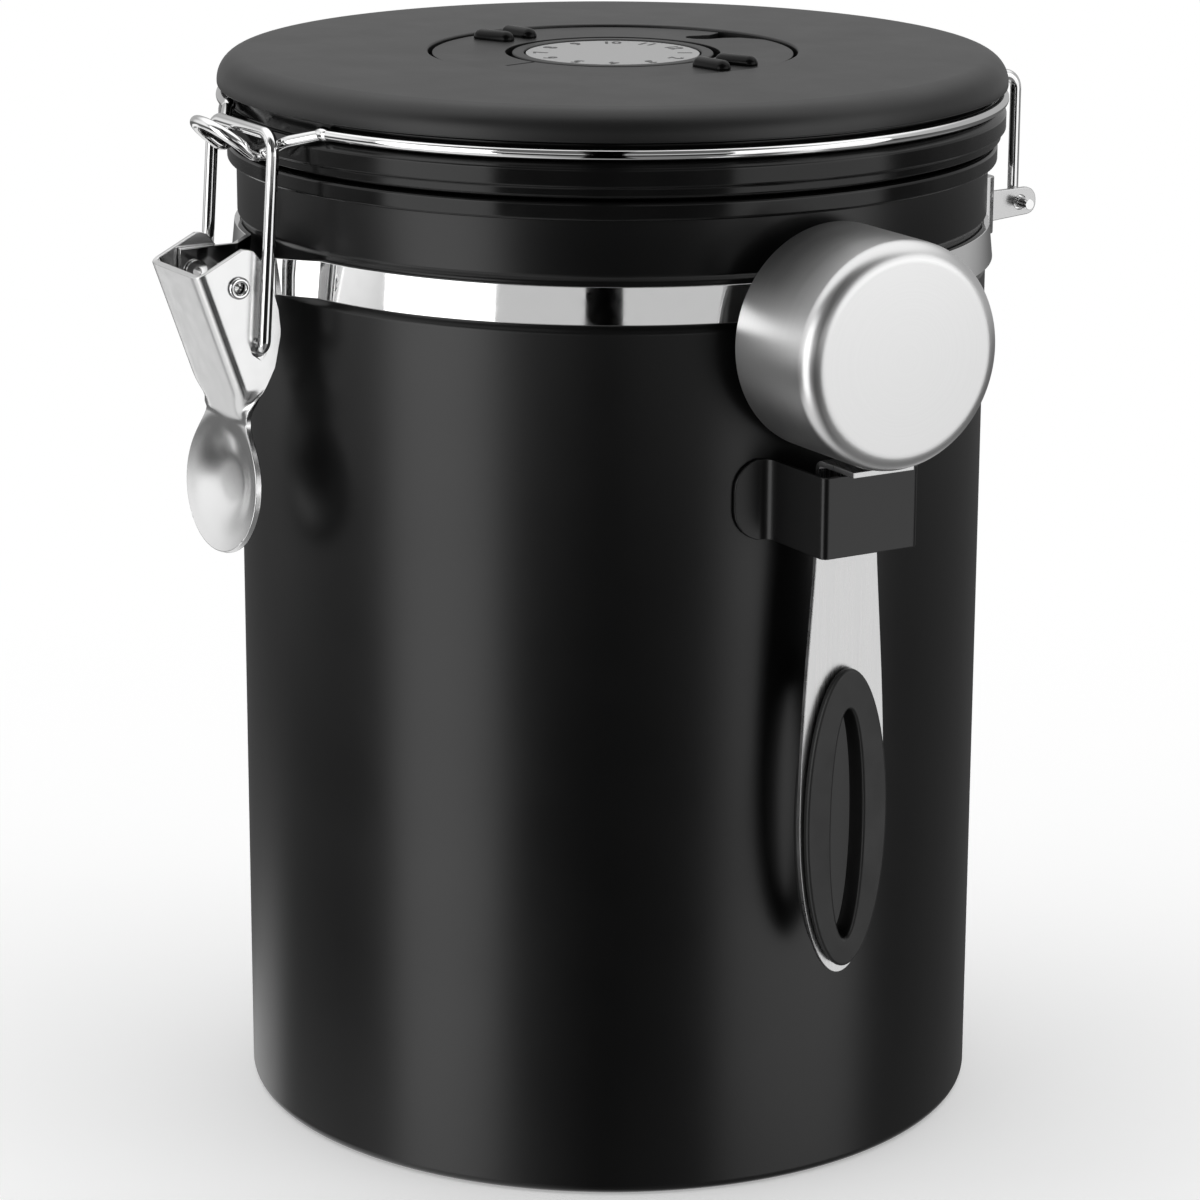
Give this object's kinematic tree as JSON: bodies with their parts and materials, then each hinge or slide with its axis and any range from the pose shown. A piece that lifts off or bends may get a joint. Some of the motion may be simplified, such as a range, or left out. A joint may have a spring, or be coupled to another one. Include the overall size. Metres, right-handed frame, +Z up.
{
  "type": "coffee canister",
  "caption": "Steel storage jar with a hinged wire-bail lid, a turning date dial on top, a degassing valve and a measuring scoop that lifts out of a clip on its side.",
  "frame": {"origin": "centre of the jar's foot, on the plane it stands on", "axes": "+Z up the jar's axis, -Y towards the latch, +Y towards the hinge, +X towards the scoop"},
  "size_m": [0.152, 0.1612, 0.1787],
  "materials": {
    "powder_coat": "semi-matte black powder coat",
    "plain_steel": "plain steel sheet",
    "polished_steel": "polished stainless steel",
    "brushed_steel": "brushed stainless steel",
    "gloss_black": "glossy black plastic",
    "matte_black": "matte black plastic",
    "silicone": "dark silicone rubber",
    "silver_label": "satin silver foil"
  },
  "bodies": {
    "canister": {"body_shell": "powder_coat", "base_disc": "plain_steel", "rim_collar": "gloss_black", "neck_band": "polished_steel", "lever_eyelet_right": "polished_steel", "lever_eyelet_left": "polished_steel", "hinge_bracket": "polished_steel", "scoop_clip": "powder_coat"},
    "lever": {"latch_lever": "polished_steel"},
    "bail": {"bail_wire": "polished_steel"},
    "lid": {"lid_cap": "matte_black", "lid_base": "gloss_black", "lid_gasket": "silicone", "lid_wire": "polished_steel", "valve_body": "gloss_black", "valve_flap": "silicone", "valve_cap": "gloss_black", "dial_pin": "matte_black"},
    "day_dial": {"day_ring": "gloss_black"},
    "month_dial": {"month_knob": "gloss_black", "month_face": "silver_label"},
    "scoop": {"scoop_cup": "brushed_steel", "scoop_handle": "brushed_steel", "scoop_grip": "silicone"}
  },
  "joints": [
    {"name": "lid_hinge", "type": "hinge", "parent": "canister", "child": "lid", "pos_m": [0, 0.077, 0.1467], "axis": [-1, 0, 0], "range_deg": [0, 105]},
    {"name": "lever_pivot", "type": "hinge", "parent": "canister", "child": "lever", "pos_m": [0, -0.0736, 0.1461], "axis": [-1, 0, 0], "range_deg": [0, 100]},
    {"name": "bail_swing", "type": "hinge", "parent": "lever", "child": "bail", "pos_m": [0, -0.0703, 0.1361], "axis": [-1, 0, 0], "range_deg": [-75, 0]},
    {"name": "day_turn", "type": "hinge", "parent": "lid", "child": "day_dial", "pos_m": [0, 0, 0.1735], "axis": [0, 0, 1], "continuous": true},
    {"name": "month_turn", "type": "hinge", "parent": "lid", "child": "month_dial", "pos_m": [0, 0, 0.1735], "axis": [0, 0, 1], "continuous": true},
    {"name": "scoop_lift", "type": "slide", "parent": "canister", "child": "scoop", "axis": [0, 0, 1], "range_m": [0, 0.085]}
  ],
  "couplings": [
    {"joint": "bail_swing", "follows": "lever_pivot", "ratio": -0.75}
  ]
}
